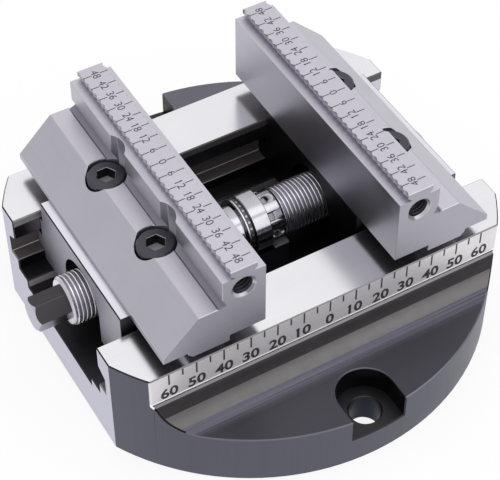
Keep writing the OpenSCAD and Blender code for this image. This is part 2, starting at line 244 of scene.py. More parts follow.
@dataclass(frozen=True)
class Finish:
    """A metal surface with its tone, its gloss and the lines that the last tool left.

    Tones are shares of the colour, sizes are lengths, and lines run along their axis.
    """

    name: str
    color: Color
    roughness: float
    metallic: float = 1.0
    lines: Axis = Axis.X
    line_size: float = 0.4 * MM
    line_length: float = 30 * MM
    line_tone: float = 0.04
    line_depth: float = 0.002 * MM
    cloud_size: float = 14 * MM
    cloud_tone: float = 0.04
    cloud_detail: float = 3.0
    gloss_spread: float = 0.08

    def material(self) -> bpy.types.Material:
        """Gives the finish's material and makes it the first time."""
        made = bpy.data.materials.get(self.name)
        return made or self.make()

    def make(self) -> bpy.types.Material:
        """Builds the node tree of the finish.

        Returns:
            The new material.
        """
        material = bpy.data.materials.new(self.name)
        shader = Shader(material)
        place = shader.add("ShaderNodeTexCoord", output="Object")
        scale = [1 / self.line_size] * 3
        scale[self.lines.value] = 1 / self.line_length
        lines = shader.noise(shader.stretched(place, tuple(scale)), 1.0)
        clouds = shader.noise(place, 1 / self.cloud_size, self.cloud_detail)
        spread = self.line_tone + self.cloud_tone
        tone = (lines * self.line_tone + clouds * self.cloud_tone) * (1 / spread)
        low = tuple(part * (1 - 2 * spread) for part in self.color)
        high = tuple(part * (1 + 2 * spread) for part in self.color)
        bump = shader.add(
            "ShaderNodeBump", {}, {"Height": lines, "Distance": self.line_depth}, "Normal"
        )
        surface = shader.add(
            "ShaderNodeBsdfPrincipled",
            {},
            {
                "Base Color": shader.blend(tone, low, high),
                "Metallic": self.metallic,
                "Roughness": self.roughness + (clouds - NOISE_MIDDLE) * (2 * self.gloss_spread),
                "Normal": bump,
            },
        )
        shader.add("ShaderNodeOutputMaterial", {}, {"Surface": surface})
        return material


@dataclass(frozen=True)
class ViseFinishes:
    """Every finish of the vise, named for what carries it."""

    # Outside of the base, from its ways down to its flange
    way: Finish = Finish(
        "way_ground",
        srgb(235, 234, 238),
        0.2,
        lines=Axis.X,
        line_tone=0.015,
        line_depth=0.0006 * MM,
        cloud_tone=0.02,
        gloss_spread=0.03,
    )
    band: Finish = Finish("band_ground", srgb(222, 219, 223), 0.34, metallic=0.55, lines=Axis.X)
    end: Finish = Finish("end_ground", srgb(200, 198, 213), 0.45, lines=Axis.Y, line_tone=0.02)
    rim: Finish = Finish("base_rim_turned", srgb(92, 92, 104), 0.42, lines=Axis.Z)
    flange: Finish = Finish("base_flange_milled", srgb(78, 77, 84), 0.42)
    # Far half of the flange top: the same milled flange, painted lighter as painted light.
    far_flange_painted_light: Finish = Finish("base_far_flange_painted_light", srgb(110, 109, 120), 0.42)
    # Upper part of the hollow under the band, painted dark as shade.
    hollow_high: Finish = Finish(
        "hollow_high_oxide", srgb(62, 60, 62), 0.42, cloud_size=5 * MM, cloud_tone=0.12
    )
    hollow_mid: Finish = Finish(
        "hollow_mid_milled", srgb(104, 101, 102), 0.36, cloud_size=4 * MM, cloud_tone=0.1
    )
    hollow_low: Finish = Finish(
        "hollow_low_milled",
        srgb(82, 81, 91),
        0.28,
        line_size=0.6 * MM,
        line_length=120 * MM,
        line_tone=0.4,
        line_depth=0.06 * MM,
    )
    seam: Finish = Finish("seam_milled", srgb(126, 123, 126), 0.36)
    # Thin line under the band's highlight line, painted dark as shade.
    seam_painted_shade: Finish = Finish("seam_line_painted_shade", srgb(66, 63, 67), 0.4)
    # A white line painted as a highlight: along the band's lower edge, on the band's lower chamfer and
    # over the ledges in the slot.
    bead: Finish = Finish("edge_painted_highlight", srgb(250, 249, 253), 0.3, metallic=0.0)

    # Slot between the ways, with its ledges and steps
    slot: Finish = Finish("slot_oxide", srgb(58, 57, 61), 0.38)
    slot_wall: Finish = Finish("slot_wall_milled", srgb(100, 92, 93), 0.42, metallic=0.3)
    guide: Finish = Finish(
        "guide_milled", srgb(142, 139, 141), 0.5, metallic=0.4, cloud_size=2 * MM, cloud_tone=0.16
    )
    # Upper band of the slot's sides away from the drive end, painted dark as shade.
    guide_painted_shade: Finish = Finish("guide_side_painted_shade", srgb(92, 88, 90), 0.45, metallic=0.5)
    guide_low: Finish = Finish("guide_ground", srgb(116, 113, 117), 0.22)
    # Lower band of the slot's sides away from the drive end, painted bright as painted light.
    guide_painted_light: Finish = Finish("guide_side_painted_light", srgb(204, 202, 208), 0.22)
    step_wall: Finish = Finish("slot_step_milled", srgb(166, 162, 165), 0.42, metallic=0.3)
    ledge: Finish = Finish("ledge_milled", srgb(92, 84, 84), 0.4, metallic=0.3)

    # Broken edges of the base, and its bolt seats
    edge: Finish = Finish("edge_oxide", srgb(58, 57, 60), 0.45)
    edge_dark: Finish = Finish("edge_deep_oxide", srgb(38, 37, 43), 0.5)
    edge_mid: Finish = Finish("edge_worn", srgb(132, 128, 131), 0.4)
    edge_flange: Finish = Finish("edge_flange_worn", srgb(116, 114, 124), 0.4)
    # Walls of the bolt seats, painted dark as shade.
    seat: Finish = Finish("seat_wall_painted_shade", srgb(34, 34, 37), 0.42, lines=Axis.Z)
    seat_floor: Finish = Finish("seat_floor_milled", srgb(60, 59, 62), 0.4)
    # Bolt holes under the seats, painted dark as shade.
    bolt_bore: Finish = Finish("bolt_bore_oxide", srgb(36, 36, 50), 0.4, lines=Axis.Z)

    # Jaws and slides
    jaw: Finish = Finish(
        "jaw_satin", srgb(190, 188, 197), 0.4, lines=Axis.Y, line_tone=0.02, cloud_tone=0.03
    )
    # End faces of the jaw: the jaw's satin painted darker as shade.
    jaw_end: Finish = Finish("jaw_end_satin", srgb(172, 170, 180), 0.42, lines=Axis.X, line_tone=0.02)
    # Inside of the tapped end holes, painted dark as shade.
    bore_painted_shade: Finish = Finish("jaw_bore_painted_shade", srgb(60, 59, 63), 0.5, lines=Axis.Y)
    # Top faces of the jaw: the jaw's satin painted lighter as painted light.
    jaw_top: Finish = Finish(
        "jaw_top_satin", srgb(202, 199, 209), 0.4, lines=Axis.Y, line_tone=0.02, cloud_tone=0.03
    )
    # Underside of the jaw over the ways, painted dark as shade.
    foot_painted_shade: Finish = Finish("jaw_foot_painted_shade", srgb(112, 108, 113), 0.45, lines=Axis.Y)
    # Slope of the groove behind the strip, painted darker as shade.
    groove_painted_shade: Finish = Finish("jaw_groove_painted_shade", srgb(140, 137, 148), 0.45, lines=Axis.Y)
    cut: Finish = Finish("jaw_cut_milled", srgb(146, 144, 153), 0.6, lines=Axis.Z)
    slide: Finish = Finish("slide_satin", srgb(176, 174, 184), 0.5, lines=Axis.Y)
    # Inner end of the slide, painted dark as shade.
    slide_inner: Finish = Finish("slide_inner_oxide", srgb(44, 43, 47), 0.45, lines=Axis.Y)
    slide_side: Finish = Finish("slide_side_milled", srgb(98, 96, 98), 0.42, lines=Axis.X)
    slide_top: Finish = Finish("slide_ground", srgb(228, 226, 234), 0.28, lines=Axis.Y)

    # Spindle, coupling and bearing
    thread: Finish = Finish("thread_bright", srgb(230, 228, 234), 0.26, lines=Axis.X)
    # Flanks of the threads, painted darker as shade.
    thread_root: Finish = Finish("thread_root_oiled", srgb(206, 204, 212), 0.36, lines=Axis.X)
    collar: Finish = Finish("collar_bright", srgb(188, 187, 193), 0.16, lines=Axis.Y)
    washer: Finish = Finish("washer_bright", srgb(205, 204, 208), 0.25, lines=Axis.Z)
    cage: Finish = Finish("cage_dark", srgb(92, 90, 95), 0.4, lines=Axis.Z)
    roller: Finish = Finish("roller_bright", srgb(160, 158, 165), 0.3, lines=Axis.Z)
    claw: Finish = Finish("claw_milled", srgb(176, 174, 178), 0.4, lines=Axis.X)
    saddle: Finish = Finish("saddle_oxide", srgb(104, 102, 107), 0.4)
    hexagon: Finish = Finish("hexagon_oxide", srgb(78, 75, 78), 0.4, lines=Axis.X)
    hexagon_end: Finish = Finish("hexagon_end_turned", srgb(196, 193, 206), 0.5, lines=Axis.Y)
    # Downward flats of the hexagon, painted lighter as a reflection.
    hexagon_low: Finish = Finish("hexagon_low_worn", srgb(150, 147, 156), 0.3, lines=Axis.X)

    # Fasteners, nuts and inks
    screw: Finish = Finish("screw_oxide", srgb(82, 82, 88), 0.4, lines=Axis.Z)
    screw_edge: Finish = Finish("screw_edge_worn", srgb(142, 141, 147), 0.4, lines=Axis.Z)
    # Walls of the screw sockets, painted dark as shade.
    socket: Finish = Finish("socket_painted_shade", srgb(40, 40, 43), 0.42, lines=Axis.Z)
    # Floor of the screw sockets, painted lighter as painted light.
    socket_floor: Finish = Finish("socket_floor_painted_light", srgb(172, 171, 176), 0.45, metallic=0.4)
    nut: Finish = Finish("nut_bronze", srgb(168, 140, 96), 0.36, lines=Axis.X)
    pin: Finish = Finish("pin_ground", srgb(196, 195, 199), 0.25, lines=Axis.Z)
    ink: Finish = Finish("scale_ink", srgb(42, 40, 44), 0.6, metallic=0.0)
    jaw_ink: Finish = Finish("jaw_scale_ink", srgb(66, 64, 70), 0.6, metallic=0.0)


FINISH = ViseFinishes()


class Piece:
    """A mesh that is shaped with bmesh operators and then put on a CAD body."""

    def __init__(self, name: str) -> None:
        """Starts an empty mesh.

        Args:
            name: The name of the piece.
        """
        self.name = name
        self.mesh = bmesh.new()
        self.finishes: list[Finish] = []

    @classmethod
    def of_node(cls, node: str, name: str, flatten: bool = True) -> "Piece":
        """Starts from a merged copy of a CAD node.

        Args:
            node: The CAD node.
            name: The name of the new piece.
            flatten: Whether its flat faces are joined.

        Returns:
            The piece.
        """
        piece = cls(name)
        piece.mesh.from_mesh(bpy.data.objects[node].data)
        bmesh.ops.remove_doubles(piece.mesh, verts=piece.mesh.verts, dist=WELD)
        if flatten:
            piece.flatten()
        return piece

    def flatten(self) -> None:
        """Joins the triangles of each flat face."""
        bmesh.ops.dissolve_limit(
            self.mesh,
            angle_limit=FLAT_ANGLE,
            verts=self.mesh.verts,
            edges=self.mesh.edges,
        )

    def finish(self, finish: Finish) -> int:
        """Gives a finish's place among those of this piece, and adds it when it is new.

        Args:
            finish: The finish.

        Returns:
            Its material index.
        """
        if finish not in self.finishes:
            self.finishes.append(finish)
        return self.finishes.index(finish)

    def paint(self, rule: Callable[[Face], Finish]) -> None:
        """Gives each face the finish that a rule names."""
        for face in self.mesh.faces:
            face.material_index = self.finish(rule(face))

    def chamfer(
        self,
        width: float,
        chosen: Callable[[Edge], bool] | None = None,
        rule: Callable[[Face], Finish] | None = None,
    ) -> None:
        """Breaks the outer edges of the piece.

        Args:
            width: How far the chamfer reaches on both faces.
            chosen: A further test that an edge has to pass.
            rule: A function from a new face to its finish, where it isn't its neighbours'.
        """
        edges = [
            edge
            for edge in self.mesh.edges
            if edge.is_manifold
            and edge.is_convex
            and edge.calc_face_angle() > EDGE_ANGLE
            and (chosen is None or chosen(edge))
        ]
        made = bmesh.ops.bevel(
            self.mesh,
            geom=edges,
            offset=width,
            offset_type="OFFSET",
            affect="EDGES",
            segments=1,
            profile=0.5,
            material=-1,
            clamp_overlap=False,
            loop_slide=True,
        )
        if rule is not None:
            for face in made["faces"]:
                face.material_index = self.finish(rule(face))

    def cut(self, place: float, keep: Side) -> None:
        """Cuts the piece across the spindle, keeps one side and closes the cut.

        Args:
            place: Where the cut is along X.
            keep: The side of the cut that stays.
        """
        geometry = self.mesh.verts[:] + self.mesh.edges[:] + self.mesh.faces[:]
        bmesh.ops.bisect_plane(
            self.mesh,
            geom=geometry,
            dist=CUT_SNAP,
            plane_co=(place, 0, 0),
            plane_no=(-keep.value, 0, 0),
            clear_outer=True,
        )
        rims = [edge for edge in self.mesh.edges if edge.is_boundary]
        bmesh.ops.holes_fill(self.mesh, edges=rims, sides=0)

    def split(self, place: float, chosen: Callable[[Face], bool], axis: Axis = Axis.Z) -> None:
        """Divides faces along a straight line, for a change of finish.

        Args:
            place: Where the line is along the axis.
            chosen: A test that a face has to pass to be divided.
            axis: The axis that the line is square to.
        """
        faces = [face for face in self.mesh.faces if chosen(face)]
        edges = list({edge for face in faces for edge in face.edges})
        verts = list({vert for face in faces for vert in face.verts})
        bmesh.ops.bisect_plane(
            self.mesh,
            geom=verts + edges + faces,
            dist=CUT_SNAP,
            plane_co=axis.direction * place,
            plane_no=axis.direction,
        )

    def helix(
        self,
        profile: Iterable[tuple[float, float]],
        centre: Vector,
        axis: Axis,
        pitch: float,
        turns: int,
        steps: int,
    ) -> None:
        """Sweeps an open profile along a helix and repeats it turn by turn.

        Args:
            profile: Pairs of a share of the pitch along the axis and a radius.
            centre: Where the helix starts on its axis.
            axis: The axis of the helix.
            pitch: Advance in a turn, below 0 for a helix that runs the other way.
            turns: Number of turns.
            steps: Steps in a turn.
        """
        advance = axis.direction * pitch
        verts = [
            self.mesh.verts.new(centre + advance * share + Vector((0, 0, radius)))
            for share, radius in profile
        ]
        edges = [self.mesh.edges.new(pair) for pair in zip(verts, verts[1:])]
        bmesh.ops.spin(
            self.mesh,
            geom=verts + edges,
            cent=centre,
            axis=axis.direction,
            dvec=advance / steps,
            angle=TURN,
            steps=steps,
            use_duplicate=False,
        )
        last = list({vert for edge in edges for vert in edge.verts})
        turn = self.linked(last[0])
        for _ in range(turns - 1):
            copied = bmesh.ops.duplicate(self.mesh, geom=turn)["geom"]
            moved = [part for part in copied if isinstance(part, bmesh.types.BMVert)]
            bmesh.ops.translate(self.mesh, verts=moved, vec=advance)
            turn = copied
        bmesh.ops.remove_doubles(self.mesh, verts=self.mesh.verts, dist=WELD)

    @staticmethod
    def linked(start: bmesh.types.BMVert) -> list[Any]:
        """Finds all geometry that hangs together with a vertex.

        Args:
            start: Any vertex of it.

        Returns:
            Its vertices, edges and faces.
        """
        found = {start}
        queue = [start]
        while queue:
            for edge in queue.pop().link_edges:
                for vert in edge.verts:
                    if vert not in found:
                        found.add(vert)
                        queue.append(vert)
        edges = {edge for vert in found for edge in vert.link_edges}
        faces = {face for vert in found for face in vert.link_faces}
        return [*found, *edges, *faces]

    def block(self, low: Vector, high: Vector) -> None:
        """Adds a block between two corners, as for a line of a scale."""
        shape = Matrix.Translation((low + high) / 2) @ Matrix.Diagonal([*(high - low), 1.0])
        bmesh.ops.create_cube(self.mesh, size=1.0, matrix=shape)

    def absorb(self, other: "Piece") -> None:
        """Takes another piece's mesh in, with its finishes.

        Args:
            other: The other piece, which is used up.
        """
        index = {i: self.finish(finish) for i, finish in enumerate(other.finishes)}
        for face in other.mesh.faces:
            face.material_index = index.get(face.material_index, 0)
        data = bpy.data.meshes.new("absorbed")
        other.mesh.to_mesh(data)
        self.mesh.from_mesh(data)
        bpy.data.meshes.remove(data)
        other.mesh.free()

    def place(
        self, body: str, slot: str, nodes: Iterable[str] = (), smooth: float = 14.0
    ) -> bpy.types.Object:
        """Makes the object, dresses it and puts it on its body.

        Args:
            body: The CAD body that it rides on.
            slot: A material slot's name; not used.
            nodes: The CAD nodes that it stands for.
            smooth: The angle past which an edge stays sharp, in degrees.

        Returns:
            The finished object.
        """
        data = bpy.data.meshes.new(self.name)
        self.mesh.to_mesh(data)
        self.mesh.free()
        for finish in self.finishes:
            data.materials.append(finish.material())
        data.shade_smooth()
        data.set_sharp_from_angle(angle=math.radians(smooth))
        made = bpy.data.objects.new(self.name, data)
        bpy.context.scene.collection.objects.link(made)
        weighted = made.modifiers.new("weighted_normals", "WEIGHTED_NORMAL")
        weighted.keep_sharp = True
        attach(made, body)
        if nodes:
            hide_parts(*nodes)
        LOG.info("%s: %d faces on %s", self.name, len(data.polygons), body)
        return made


def dress(node: str, finish: Finish) -> None:
    """Gives a CAD node that stays its finish.

    Args:
        node: The CAD node.
        finish: Its finish.
    """
    data = bpy.data.objects[node].data
    data.materials.clear()
    data.materials.append(finish.material())
    LOG.info("%s: CAD node in %s", node, finish.name)


@dataclass(frozen=True)
class Numerals:
    """Digits of a scale, as a film of ink that stands a little proud of the metal.

    Weight is how much bolder than the plain digits they are, and width how much wider.
    A flag's length and stroke are shares of the height.
    """

    height: float
    weight: float
    width: float = 1.0
    proud: float = 0.02 * MM
    curve_steps: int = 3
    flag_length: float = 0.26
    flag_stroke: float = 0.1
    flag_angle: float = math.radians(38)

    def outline(self, text: str) -> bpy.types.Mesh:
        """Makes the flat mesh of a number, in the size that text comes in.

        Args:
            text: The number.

        Returns:
            The mesh, for its user to remove.
        """
        curve = bpy.data.curves.new("numeral", "FONT")
        curve.body = text
        curve.resolution_u = self.curve_steps
        curve.offset = self.weight / self.height
        carrier = bpy.data.objects.new("numeral", curve)
        bpy.context.scene.collection.objects.link(carrier)
        evaluated = carrier.evaluated_get(bpy.context.evaluated_depsgraph_get())
        data = bpy.data.meshes.new_from_object(evaluated)
        bpy.data.objects.remove(carrier)
        bpy.data.curves.remove(curve)
        return data

    def stamp(self, piece: Piece, text: str, frame: Matrix) -> None:
        """Adds a number to a piece.

        Args:
            piece: The piece of the scale's marks.
            text: The number.
            frame: Where its middle is, with X along the line of text and Z out of the surface.
        """
        data = self.outline(text)
        corners = [vertex.co for vertex in data.vertices]
        low = Vector([min(corner[i] for corner in corners) for i in range(3)])
        high = Vector([max(corner[i] for corner in corners) for i in range(3)])
        size = self.height / (high.y - low.y)
        centre = Matrix.Translation(-(low + high) / 2)
        data.transform(frame @ Matrix.Diagonal([size * self.width, size, 1.0, 1.0]) @ centre)
        start = len(piece.mesh.faces)
        piece.mesh.from_mesh(data)
        piece.mesh.faces.ensure_lookup_table()
        added = list({vert for face in piece.mesh.faces[start:] for vert in face.verts})
        outwards = frame.to_3x3() @ Vector((0, 0, self.proud))
        bmesh.ops.translate(piece.mesh, verts=added, vec=outwards)
        bpy.data.meshes.remove(data)
        if text.startswith("1"):
            self.flag(piece, (low.x - high.x) / 2 * size * self.width, frame)

    def flag(self, piece: Piece, left: float, frame: Matrix) -> None:
        """Adds the short slanted stroke at the top of a 1.

        Args:
            piece: The piece of the scale's marks.
            left: Where the 1 begins along the line of text, from the number's middle.
            frame: Where the number's middle is.
        """
        length = self.height * self.flag_length
        stroke = self.height * self.flag_stroke
        corner = Matrix.Translation((left + stroke, self.height / 2, 0))
        turn = Matrix.Rotation(self.flag_angle, 4, "Z")
        inset = Matrix.Translation((-length / 2, -stroke / 2, 0))
        shape = Matrix.Diagonal([length, stroke, 2 * self.proud, 1.0])
        bmesh.ops.create_cube(piece.mesh, size=1.0, matrix=frame @ corner @ turn @ inset @ shape)


@dataclass
class Base:
    """Round base with its ways, scale band, flange and slot."""

    chamfer: float = 0.42 * MM
    half_width: float = 52.5 * MM
    band_low: float = 31.6 * MM
    # Top of the line painted white as a highlight along the band's lower edge.
    bead_z: float = 32.2 * MM
    seam_z: float = 31.35 * MM
    seam_low: float = 30.7 * MM
    ledge_top: float = 25 * MM
    ledge_line: float = 0.35 * MM
    step_z: float = 19 * MM
    floor_z: float = 12 * MM
    flange_top: float = 21.5 * MM
    hollow_dark_z: float = 26.6 * MM
    hollow_streak_z: float = 23.3 * MM
    seat_z: float = 12 * MM
    rim_reach: float = 0.5 * MM
    guide_depth: float = 9 * MM
    guide_band: float = 3 * MM
    guide_x: float = -55 * MM
    slot_half: float = 31.5 * MM
    end_slope: float = 0.3
    scale_end: int = 60
    scale_step: int = 5
    tick_gap: float = 0.4 * MM
    tick_width: float = 0.6 * MM
    long_tick: float = 5.0 * MM
    short_tick: float = 3.0 * MM
    mark_proud: float = 0.02 * MM
    numeral_z: float = 34.9 * MM
    numerals: Numerals = field(default_factory=lambda: Numerals(4.8 * MM, 0.14 * MM, 1.04))

    @property
    def top(self) -> float:
        """Height of the ways."""
        return cad_box("base")[1].z

    @property
    def rim_radius(self) -> float:
        """Radius of the round rim."""
        return cad_box("base")[1].y

    def is_outside(self, centre: Vector) -> bool:
        """Whether a face's middle is on a side band or past it."""
        return abs(centre.y) > self.half_width - NEAR

    def in_slot(self, face: Face) -> bool:
        """Whether a face is an upright side of the slot between the ways."""
        centre = face.calc_center_median()
        return along(face.normal, Axis.Y) and abs(abs(centre.y) - self.slot_half) < NEAR

    def in_recess(self, face: Face) -> bool:
        """Whether a face is an upright side of the recess over the ledges."""
        return along(face.normal, Axis.Y) and not self.is_outside(face.calc_center_median())

    def on_side(self, face: Face) -> bool:
        """Whether a face is the side band or the hollow under it.

        Args:
            face: A face of the base.

        Returns:
            Whether it is one of them.
        """
        centre = face.calc_center_median()
        over_flange = self.is_outside(centre) and centre.z > self.flange_top
        return over_flange and across(face.normal, Axis.X)

    def finish_of(self, face: Face) -> Finish:
        """Gives the finish of one face of the base by where it is and where it looks.

        Args:
            face: A face of the base.

        Returns:
            Its finish.
        """
        centre, normal = face.calc_center_median(), face.normal
        if upward(normal) and centre.z > self.top - NEAR:
            return FINISH.way
        if along(normal, Axis.Y) and self.is_outside(centre) and centre.z > self.bead_z:
            return FINISH.band
        if along(normal, Axis.X) and abs(centre.x) > cad_box("base")[1].x - NEAR:
            return FINISH.end
        out = math.hypot(centre.x, centre.y)
        if across(normal, Axis.Z) and out > self.rim_radius - self.rim_reach:
            return FINISH.rim
        if self.is_outside(centre):
            return self.side_finish(centre, normal)
        return self.slot_finish(centre, normal)

    def side_finish(self, centre: Vector, normal: Vector) -> Finish:
        """Gives the finish of a face of the flange or the hollow over it, painted in bands of
        highlight and shade by height.

        Args:
            centre: The face's middle.
            normal: Where the face looks.

        Returns:
            Its finish.
        """
        if centre.z < self.flange_top - NEAR:
            return self.seat_finish(centre, normal)
        # The far flange top is painted lighter than the near one, as painted light.
        if upward(normal):
            return FINISH.flange if centre.y < 0 else FINISH.far_flange_painted_light
        # Strip of the band just over its lower edge: painted white as a highlight.
        if centre.z > self.band_low:
            return FINISH.bead
        # Thin line just under the band: painted dark as shade.
        if centre.z > self.seam_z:
            return FINISH.seam_painted_shade
        if centre.z > self.seam_low:
            return FINISH.seam
        # Upper hollow, under the band: painted dark as shade.
        if centre.z > self.hollow_dark_z:
            return FINISH.hollow_high
        return FINISH.hollow_mid if centre.z > self.hollow_streak_z else FINISH.hollow_low

    def seat_finish(self, centre: Vector, normal: Vector) -> Finish:
        """Gives the finish of a face of the open bolt seats and of the holes in them, with walls and
        holes painted dark as shade.

        Args:
            centre: The face's middle.
            normal: Where the face looks.

        Returns:
            Its finish.
        """
        # Holes and seat walls are painted dark as shade.
        if centre.z < self.seat_z - NEAR:
            return FINISH.bolt_bore
        return FINISH.seat_floor if upward(normal) else FINISH.seat

    def slot_finish(self, centre: Vector, normal: Vector) -> Finish:
        """Gives the finish of a face inside the slot, or of the underside.

        Args:
            centre: The face's middle.
            normal: Where the face looks.

        Returns:
            Its finish.
        """
        if upward(normal) and abs(centre.z - self.ledge_top) < NEAR:
            return FINISH.ledge
        if not along(normal, Axis.Y):
            return FINISH.slot
        if centre.z > self.top - self.guide_depth:
            return self.guide_finish(centre)
        # Thin strip just over the ledges: painted white as a highlight.
        if centre.z > self.ledge_top:
            return FINISH.bead if centre.z < self.ledge_top + self.ledge_line else FINISH.slot_wall
        return FINISH.step_wall if self.floor_z < centre.z < self.step_z else FINISH.slot

    def guide_finish(self, centre: Vector) -> Finish:
        """Gives the finish of an upright side of the slot, right under the ways, in tones painted by
        place as light and shade.

        Args:
            centre: The face's middle.

        Returns:
            Its finish.
        """
        # Tones by place stand in for light: the upper band away from the drive end is painted dark as
        # shade, the lower band there bright as painted light.
        at_drive = centre.x < self.guide_x
        if centre.z > self.top - self.guide_band:
            return FINISH.guide if at_drive else FINISH.guide_painted_shade
        return FINISH.guide_low if at_drive else FINISH.guide_painted_light

    def edge_finish(self, face: Face) -> Finish:
        """Gives the finish of a broken edge by where it is.

        Args:
            face: A face that the chamfer made.

        Returns:
            Its finish.
        """
        centre = face.calc_center_median()
        reach = 2 * self.chamfer
        at_rim = math.hypot(centre.x, centre.y) > self.rim_radius - reach
        on_band = abs(centre.y) > self.half_width - reach and centre.z > self.band_low - reach
        if centre.z > self.top - reach:
            if abs(face.normal.x) > self.end_slope:
                return FINISH.edge
            return FINISH.edge_mid if on_band else self.slot_finish(centre, Axis.Y.direction)
        # The band's lower chamfer is painted white as a highlight.
        if on_band and abs(centre.y) < self.half_width + reach:
            return FINISH.bead if centre.z < self.band_low + reach else FINISH.band
        if abs(centre.z - self.ledge_top) < reach and abs(centre.y) < self.half_width:
            return FINISH.seam
        if abs(centre.z - self.flange_top) < reach:
            return FINISH.edge_flange
        return FINISH.edge_dark if at_rim and centre.z > self.flange_top else FINISH.edge

    def scale(self) -> None:
        """Builds the ticks and numbers on the near band."""
        marks = Piece("base_scale")
        marks.finish(FINISH.ink)
        face_y = -self.half_width
        top = self.top - self.tick_gap
        upright = Matrix.Rotation(QUARTER, 4, "X")
        for value in range(-self.scale_end, self.scale_end + 1, self.scale_step):
            x = value * MM
            numbered = value % (2 * self.scale_step) == 0
            length = self.long_tick if numbered else self.short_tick
            marks.block(
                Vector((x - self.tick_width / 2, face_y - self.mark_proud, top - length)),
                Vector((x + self.tick_width / 2, face_y + self.mark_proud, top)),
            )
            if numbered:
                frame = Matrix.Translation((x, face_y, self.numeral_z)) @ upright
                self.numerals.stamp(marks, str(abs(value)), frame)
        marks.place("base", "base")

    def build(self) -> None:
        """Builds the base's shell and its scale."""
        shell = Piece.of_node("base", "base_body")
        # These splits bound the tones painted as light and shade on the slot's sides, over the ledges
        # and along the band's lower edge.
        shell.split(self.top - self.guide_band, self.in_slot)
        shell.split(self.guide_x, self.in_slot, Axis.X)
        shell.split(self.ledge_top + self.ledge_line, self.in_recess)
        for height in (self.bead_z, self.seam_z, self.seam_low):
            shell.split(height, self.on_side)
        shell.paint(self.finish_of)
        shell.chamfer(self.chamfer, rule=self.edge_finish)
        shell.place("base", "base", ["base"])
        self.scale()


@dataclass
class CentreBearing:
    """Saddle in the middle of the slot, with its screws and dowels."""

    chamfer: float = 0.3 * MM

    def build(self) -> None:
        """Builds the saddle and dresses its fasteners."""
        saddle = Piece.of_node("bearing_saddle", "bearing_block")
        saddle.paint(lambda face: FINISH.saddle)
        saddle.chamfer(self.chamfer)
        saddle.place("base", "bearing", ["bearing_saddle"])
        dress("bearing_screws", FINISH.screw)
        dress("bearing_dowels", FINISH.pin)


